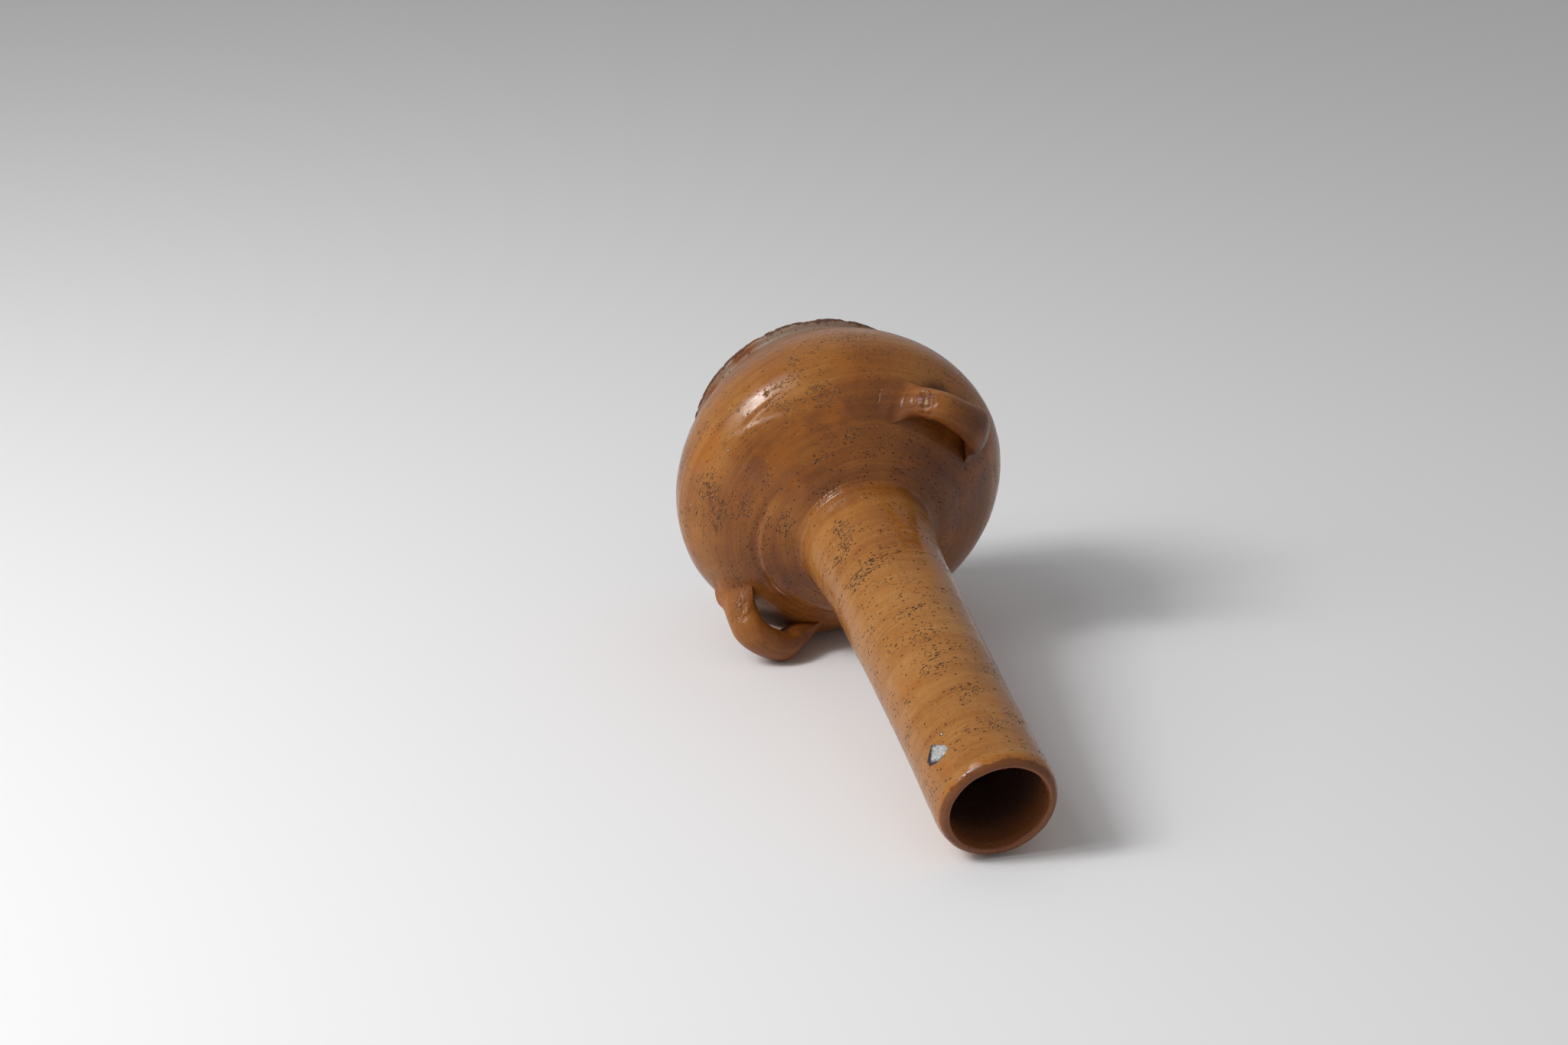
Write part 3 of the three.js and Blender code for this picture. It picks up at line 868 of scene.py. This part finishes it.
def glaze_colour(s, at, bias):
    """Glaze that pooled dark round the shoulder and thinned to honey up the neck, and three of
    its textures."""
    patches = s.noise(at.position, 46, 3.0, 0.55)
    mottle = s.noise(at.position, 9, 3.0, 0.6)
    grain = s.noise(at.banded, 2.4, 2.0, 0.6)
    streaks = s.noise(at.ringed, 1.9, 3.0, 0.6)
    broad_streaks = s.noise(at.ringed, 7.0, 2.0, 0.5)
    pooling, thinning = BELLY_HEIGHT + 28, SEAT_HEIGHT + 0.5
    paleness = s.range(at.along, pooling, pooling + 34, bias + 0.03, bias - 0.2)
    paleness = s.sum("ADD", paleness, s.range(at.z, thinning, thinning + 31, 0.0, 0.37))
    low_belly = s.range(at.z, BELLY_HEIGHT - 14, BELLY_HEIGHT - 32, 0.0, -0.12)
    # Spots painted paler or darker, partly tone and partly painted light and shade
    paleness = s.spots(at, TONES_AND_PAINTED_SHADE, s.sum("ADD", paleness, low_belly))
    for texture, share in (
        (patches, 0.46), (mottle, 0.24), (grain, 0.26), (streaks, 0.34), (broad_streaks, 0.42),
    ):
        paleness = s.added(s.less(texture, 0.5), share, paleness)
    ramp = s.node("ShaderNodeValToRGB")
    s.feed(ramp.inputs[0], paleness)
    ramp.color_ramp.interpolation = "B_SPLINE"
    stops = ramp.color_ramp.elements
    stops[0].position, stops[0].color = 0.05, DEEP
    stops[1].position, stops[1].color = 1.0, PALE
    for position, tint in ((0.36, BROWN), (0.68, HONEY)):
        stops.new(position).color = tint
    warm = s.range(s.noise(at.position, 30, 2.0, 0.5), 0.54, 0.72, 0.0, 0.36)
    colour = s.colour(warm, ramp.outputs[0], ORANGE)
    # Grey bands along the rings low on the belly, partly ash and partly painted reflection of
    # their sheen
    low_bands = s.range(at.z, BELLY_HEIGHT - 36, BELLY_HEIGHT - 56)
    low_bands = s.times(low_bands, s.range(streaks, 0.38, 0.56))
    return s.paint(colour, ASH_AND_SHEEN, low_bands, 0.9), patches, mottle, streaks


def marks(s, at, crowded, sparse):
    """Holes in the glaze, from 0 to 1, and the raised rims beside them. They are scratches,
    which are pieces of winding lines, then dashes, pits and the holes of the seam."""
    crowd = s.spots(at, crowded, s.noise(at.banded, 22, 2.0, 0.6))

    winding = s.noise(at.banded, 4.8, 1.0, 0.5, 0.6)
    off_line = s.sum("ABSOLUTE", s.less(winding, 0.5))
    pieces = s.noise(at.banded, 2.8, 1.0, 0.5)
    kept = s.range(s.added(pieces, 0.9, crowd), 1.14, 1.18)
    scratches = s.times(s.range(off_line, 0.034, 0.014), kept)
    rims = s.times(s.range(off_line, 0.085, 0.05), kept)

    distance, chance, size = s.cells(at.squashed, 1.3)
    few = s.sum("LESS_THAN", chance, s.range(crowd, 0.4, 0.85, sparse, 0.5))
    reach = s.range(size, 0.0, 1.0, 0.2, 0.42)
    dashes = s.times(few, s.range(s.sum("DIVIDE", distance, reach), 1.0, 0.5))

    push = s.node("ShaderNodeVectorMath", operation="MULTIPLY_ADD")
    warp = s.noise(at.position, 3.0, output="Color")
    distance, chance, size = s.cells(s.filled(push, warp, (1.6, 1.6, 1.6), at.banded), 3.6)
    few = s.sum("LESS_THAN", chance, s.range(crowd, 0.42, 0.85, 0.03, 0.6))
    reach = s.range(size, 0.0, 1.0, 0.08, 0.24)
    pits = s.times(few, s.range(s.sum("DIVIDE", distance, reach), 1.0, 0.45))

    off_seam = s.added(s.noise(at.position, 7, 2.0, 0.5), 3.0, -1.5)
    off_seam = s.sum("ADD", off_seam, s.less(at.z, SEAM_HEIGHT))
    seam = s.range(s.sum("ABSOLUTE", off_seam), 0.9, 0.3)
    seam = s.times(seam, s.range(s.noise(at.position, 4, 2.0, 0.6), 0.46, 0.54))
    holes = s.most(s.most(s.most(scratches, dashes), pits), s.times(seam, 0.7))
    return holes, s.most(s.less(rims, holes), 0.0)


def paint_thumb_marks(s, at, colour, mottle):
    """The blisters, the pit and the pale scar, partly bare clay and partly a painted highlight,
    where the handles were thumbed down, and how far the blisters reach."""
    blister = s.spots(at, [(*where, rough) for *where, size, rough in BLISTERS], 0.0)
    lumps = s.noise(at.position, 2.2, 3.0, 0.6)
    blister = s.range(s.added(lumps, 1.6, blister), 1.1, 1.5)
    bruise = s.times(blister, s.spot(at, THUMB_PIT, 16.0))
    colour = s.paint(colour, BLISTER, bruise, 0.7)
    pit = s.range(s.spot(at, THUMB_PIT, 4.0), 0.3, 0.6)
    colour = s.paint(colour, PIT, pit, 0.8)
    # A pale spot, partly bare clay and partly a painted highlight
    scar = s.range(s.added(mottle, 1.4, s.spot(at, SCAR_AND_GLINT, 3.4)), 1.2, 1.4)
    scar = s.times(scar, s.range(at.radius, 92.0, 95.0))
    return s.paint(colour, SCAR_AND_GLINT_CLAY, scar, 0.7), blister


def paint_shade_behind_straps(s, at, colour, patches):
    """Painted shade on the glaze behind the straps, and how far it reaches."""
    shade_and_dulling = 0.0
    for *where, reach in PAINTED_SHADE_BEHIND_STRAPS:
        # Painted shade behind each strap, with the glaze made dull there too
        shade_and_dulling = s.most(shade_and_dulling, s.added(patches, 0.9, s.spot(at, where, reach)))
    shade_and_dulling = s.range(shade_and_dulling, 0.55, 1.25)
    return s.paint(colour, STRAP_SHADE_COLOUR, shade_and_dulling, 0.85), shade_and_dulling


def paint_lip(s, at, colour, mottle):
    """The lip, orange outside and, inside of a dark line, brown that is partly painted shade, and
    the bore, with painted shade darker further in.
    """
    worn = s.added(mottle, 2.0, s.sum("ADD", at.radius, -1.0))
    line = MOUTH_RADIUS - 1.8
    band = s.range(at.z, MOUTH_HEIGHT - 8, MOUTH_HEIGHT - 5.5)
    band = s.times(band, s.range(worn, line - 0.4, line + 0.3))
    colour = s.paint(colour, ORANGE, band, 0.35)
    # The lip's face, its brown partly painted shade
    face = s.range(at.z, MOUTH_HEIGHT - 7, MOUTH_HEIGHT - 4.5)
    face = s.times(face, s.range(worn, line + 0.4, line - 0.4))
    colour = s.paint(colour, LIP_BROWN_AND_SHADE, face, 0.85)
    drawn = s.range(s.sum("ABSOLUTE", s.less(worn, line)), 0.5, 0.1)
    drawn = s.times(drawn, s.range(at.z, MOUTH_HEIGHT - 8, MOUTH_HEIGHT - 5))
    colour = s.paint(colour, DEEP, drawn, 0.6)
    inner = s.range(at.radius, BORE_RADIUS + 3.3, BORE_RADIUS + 1.8)
    inner = s.times(inner, s.range(at.z, COVE_HEIGHT + 9, COVE_HEIGHT + 19))
    colour = s.paint(colour, BORE_BROWN, inner, 0.9)
    # Painted shade, darker further down the bore
    inner = s.times(inner, s.range(at.z, MOUTH_HEIGHT - 5, MOUTH_HEIGHT - 29))
    return s.paint(colour, MOUTH_PAINTED_SHADE, inner, 0.95)


def paint_flecks_and_glint(s, at, colour):
    """Bare flecks in dark rings, one on the belly that is a painted highlight, and small bare
    specks anywhere.
    """
    # Pale spots in dark rings; the one on the belly is a painted highlight
    for *where, reach in FLECKS_AND_GLINT:
        fleck = s.spot(at, where, reach)
        colour = s.colour(s.range(fleck, 0.1, 0.3), colour, PIT)
        colour = s.colour(s.range(fleck, 0.5, 0.7), colour, BARE_CLAY)
    distance, chance, _ = s.cells(at.position, 9.0)
    specks = s.times(s.sum("LESS_THAN", chance, 0.12), s.range(distance, 0.05, 0.02))
    return s.colour(specks, colour, BARE_CLAY)


def paint_rim(s, at, colour, mottle):
    """The foot's unglazed edge with its pale chips, and how far the bare clay reaches."""
    rim = s.range(s.added(mottle, 6.0, at.z), FOOT_HEIGHT - 0.3, FOOT_HEIGHT - 1.9)
    chips = s.times(rim, s.range(s.noise(at.position, 4.0, 2.0, 0.6), 0.54, 0.6))
    chips = s.times(chips, s.range(at.z, FOOT_BEVEL + 1.5, FOOT_BEVEL + 0.3))
    colour = s.paint(colour, RIM_CLAY, rim, 0.85)
    return s.paint(colour, BARE_CLAY, chips, 0.8), rim


def paint_spall(s, at, colour, ragged):
    """The spall, with painted shade dark at its edge, reaching further in on one side, then grey
    and pale in its core, and how far it reaches.
    """
    turned = s.less(at.azimuth, math.radians(SPALL_AZIMUTH))
    u = s.times(turned, MOUTH_RADIUS)
    flat = s.vector(u, s.less(at.z, SPALL_HEIGHT), 0.0)
    outside = -100.0
    for out_u, out_v, far in spall_sides():
        dot = s.node("ShaderNodeVectorMath", operation="DOT_PRODUCT")
        s.filled(dot, flat, (out_u, out_v, 0))
        outside = s.most(outside, s.less(dot.outputs["Value"], far))
    spall = s.range(s.added(ragged, 0.8, outside), 0.2, -0.2)
    spall = s.times(spall, s.range(at.radius, MOUTH_RADIUS - 3.4, MOUTH_RADIUS - 2.4))
    # The painted shade at the edge reaches further in where u is more than 0, towards azimuth -74
    inside = s.less(s.added(ragged, 1.6, s.times(u, -0.3)), outside)
    colour = s.colour(spall, colour, SPALL_EDGE_SHADE)
    colour = s.paint(colour, SPALL_GREY, spall, s.range(inside, 0.2, 0.9))
    clean = s.range(s.noise(at.position, 1.5, 2.0, 0.6), 0.4, 0.6, 0.35, 1.0)
    clean = s.times(clean, s.range(inside, 1.0, 2.4))
    return s.paint(colour, SPALL_CORE, spall, clean), spall


def glaze(name, bias, darkness, crowded=(), smoothest=0.17, sparse=0.03):
    """Salt-glazed stoneware over scratched and pitted clay. More bias is paler, darkness is that
    of the marks, crowded says where they are many and sparse how many there are elsewhere."""
    material = bpy.data.materials.new(name)
    s = Shader(material)
    at = measures(s)
    ragged = s.added(s.noise(at.position, 2.6, 3.0, 0.6), 2.0, -1.0)
    colour, patches, mottle, streaks = glaze_colour(s, at, bias)
    holes, rims = marks(s, at, crowded, sparse)
    colour = s.paint(colour, PALE, rims, 0.3)
    colour = s.paint(colour, PIT, holes, darkness)
    colour, blister = paint_thumb_marks(s, at, colour, mottle)
    colour, shade_and_dulling = paint_shade_behind_straps(s, at, colour, patches)
    colour = paint_lip(s, at, colour, mottle)
    colour = paint_flecks_and_glint(s, at, colour)
    colour, rim = paint_rim(s, at, colour, mottle)
    colour, spall = paint_spall(s, at, colour, ragged)

    height = s.times(s.noise(at.position, 3.4, 2.0, 0.5), 0.07)
    for relief, amount in (
        (s.noise(at.position, 0.7, 2.0, 0.5), 0.01), (streaks, 0.05), (rims, 0.1),
        (s.times(blister, ragged), 0.7), (holes, -0.4),
        (s.times(spall, ragged), 1.2), (s.times(rim, ragged), 1.0),
    ):
        height = s.added(relief, amount, height)
    bump = s.filled(s.node("ShaderNodeBump"), Strength=1.0, Distance=MILLIMETRE, Height=height)

    roughness = s.range(mottle, 0.3, 0.7, smoothest, smoothest + 0.14)
    roughness = s.added(s.most(s.most(spall, rim), holes), 0.4, roughness)
    roughness = s.added(shade_and_dulling, 0.5, roughness)
    dull_belly = s.range(at.z, BELLY_HEIGHT - 20, BELLY_HEIGHT - 38, 0.0, 0.2)
    roughness = s.sum("ADD", roughness, dull_belly)
    roughness = s.most(s.added(blister, -0.3, roughness), 0.08)
    skin = s.node("ShaderNodeBsdfPrincipled")
    s.filled(skin, colour, Roughness=roughness, Normal=bump, IOR=GLAZE_IOR)
    s.filled(s.node("ShaderNodeOutputMaterial"), skin.outputs[0])
    return material


# Lights, floor and camera. The vase is kept standing while the photograph shows it lying on
# its side, so the camera is turned with it and the floor is the plane that it lies on. Lengths
# are in metres from here.

CAMERA_PLACE = (-0.4981, -0.9174, 1.4441)
CAMERA_RIGHT = Vector((-0.6133, 0.7484, 0.2524))
CAMERA_DOWN = Vector((0.7254, 0.4072, 0.5549))
CAMERA_FORWARD = Vector((0.3125, 0.5234, -0.7927))
SENSOR_WIDTH, FOCAL_LENGTH = 36, 61.52
TABLE_NORMAL = Vector((-0.795, -0.565, -0.221)).normalized()
TABLE_DISTANCE, TABLE_REACH = 0.1230, 8
TABLE_LIT, TABLE_SEEN = rgb(0.86, 0.86, 0.87), rgb(0.96, 0.96, 0.97)
WHITE, BACKDROP, WORLD_LIGHT = rgb(1, 1, 1), rgb(0.42, 0.42, 0.43), 0.28

# The lamp is a soft box with a brighter core. Its direction and the way of its long side are as
# the camera sees them, right, down and forward. Then distance, width, height and power.
LAMP_TARGET = Vector((0, 0, 0.16))
LAMP_WAY, LAMP_LONG_WAY = (-0.65, -0.51, -0.56), (-0.805, 0.575, 0.146)
LAMPS = {"key": (2.4, 1.9, 1.1, 20.5), "core": (2.3, 0.7, 0.34, 20.5)}


def put_at(where, axes, name, data):
    """Puts a camera or a lamp in the scene, its own axes along those given."""
    made = put_in_scene(name, data)
    made.matrix_world = Matrix.Translation(where) @ Matrix(axes).transposed().to_4x4()
    return made


def camera():
    made = bpy.data.cameras.new("camera")
    made.sensor_width = SENSOR_WIDTH
    made.lens = FOCAL_LENGTH
    made.clip_start, made.clip_end = 0.05, 60
    axes = (CAMERA_RIGHT, -CAMERA_DOWN, -CAMERA_FORWARD)
    bpy.context.scene.camera = put_at(CAMERA_PLACE, axes, "camera", made)


def in_view(right, down, forward):
    """A direction given as the camera sees it, in the frame's axes."""
    return (CAMERA_RIGHT * right + CAMERA_DOWN * down + CAMERA_FORWARD * forward).normalized()


def soft_box(name, distance, width, height, power):
    made = bpy.data.lights.new(name, "AREA")
    made.shape = "RECTANGLE"
    made.size, made.size_y = width, height
    made.energy = power
    axis_z, long_way = in_view(*LAMP_WAY), in_view(*LAMP_LONG_WAY)
    axis_x = (long_way - axis_z * long_way.dot(axis_z)).normalized()
    axes = (axis_x, axis_z.cross(axis_x), axis_z)
    put_at(LAMP_TARGET + axis_z * distance, axes, name, made)


def floor():
    """The plane that the vase lies on, clear to the camera from behind."""
    middle = -TABLE_NORMAL * TABLE_DISTANCE
    side = TABLE_NORMAL.orthogonal().normalized() * TABLE_REACH
    other = TABLE_NORMAL.cross(side)
    corners = [middle + side * a + other * b for a, b in ((-1, -1), (1, -1), (1, 1), (-1, 1))]
    mesh = bpy.data.meshes.new("floor")
    mesh.from_pydata([tuple(corner) for corner in corners], [], [(0, 1, 2, 3)])
    mesh.materials.append(bpy.data.materials.new("floor"))
    s = Shader(mesh.materials[0])
    is_camera_ray = s.node("ShaderNodeLightPath").outputs["Is Camera Ray"]
    tint = s.colour(is_camera_ray, TABLE_LIT, TABLE_SEEN)
    paint = s.filled(s.node("ShaderNodeBsdfDiffuse"), tint)
    clear = s.node("ShaderNodeBsdfTransparent").outputs[0]
    behind = s.times(s.node("ShaderNodeNewGeometry").outputs["Backfacing"], is_camera_ray)
    shown = s.filled(s.node("ShaderNodeMixShader"), behind, paint, clear)
    s.filled(s.node("ShaderNodeOutputMaterial"), shown)
    put_in_scene("floor", mesh)


def world():
    """Even light, with the backdrop's own colour where it is seen or reflected."""
    bpy.context.scene.world = bpy.data.worlds.new("studio")
    s = Shader(bpy.context.scene.world)
    path = s.node("ShaderNodeLightPath").outputs
    seen = path["Is Camera Ray"]
    for other in ("Is Glossy Ray", "Is Transmission Ray"):
        seen = s.most(seen, path[other])
    light = s.filled(s.node("ShaderNodeBackground"), WHITE, WORLD_LIGHT)
    backdrop = s.filled(s.node("ShaderNodeBackground"), BACKDROP, 1.0)
    shown = s.filled(s.node("ShaderNodeMixShader"), seen, light, backdrop)
    s.filled(s.node("ShaderNodeOutputWorld"), shown)


camera()
world()
floor()
for lamp, sizes in LAMPS.items():
    soft_box(lamp, *sizes)

foot_clay = glaze("foot_clay", bias=0.4, darkness=0.5)
body_glaze = glaze(
    "body_glaze", bias=0.49, darkness=0.65, crowded=BODY_CROWDED, smoothest=0.15, sparse=0.07,
)
neck_glaze = glaze(
    "neck_glaze", bias=0.46, darkness=0.95, crowded=NECK_CROWDED, smoothest=0.14, sparse=0.13,
)
handle_glaze = glaze("handle_glaze", bias=0.4, darkness=0.4, smoothest=0.3)

for piece, node, slot in (
    (base_disc(foot_clay), "base_disc", "foot_clay"),
    (body_shell(body_glaze), "body_shell", "body_glaze"),
    (neck_collar(neck_glaze), "neck_collar", "neck_glaze"),
    (neck_tube(neck_glaze), "neck_tube", "neck_glaze"),
    (ear_handle("ear_left", LEFT_EAR, 61, handle_glaze), "left_handle", "handle_glaze"),
    (ear_handle("ear_right", RIGHT_EAR, 71, handle_glaze), "right_handle", "handle_glaze"),
):
    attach(piece, "root")
    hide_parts(node)

bpy.context.scene.view_settings.view_transform = "Standard"

bpy.context.view_layer.update()
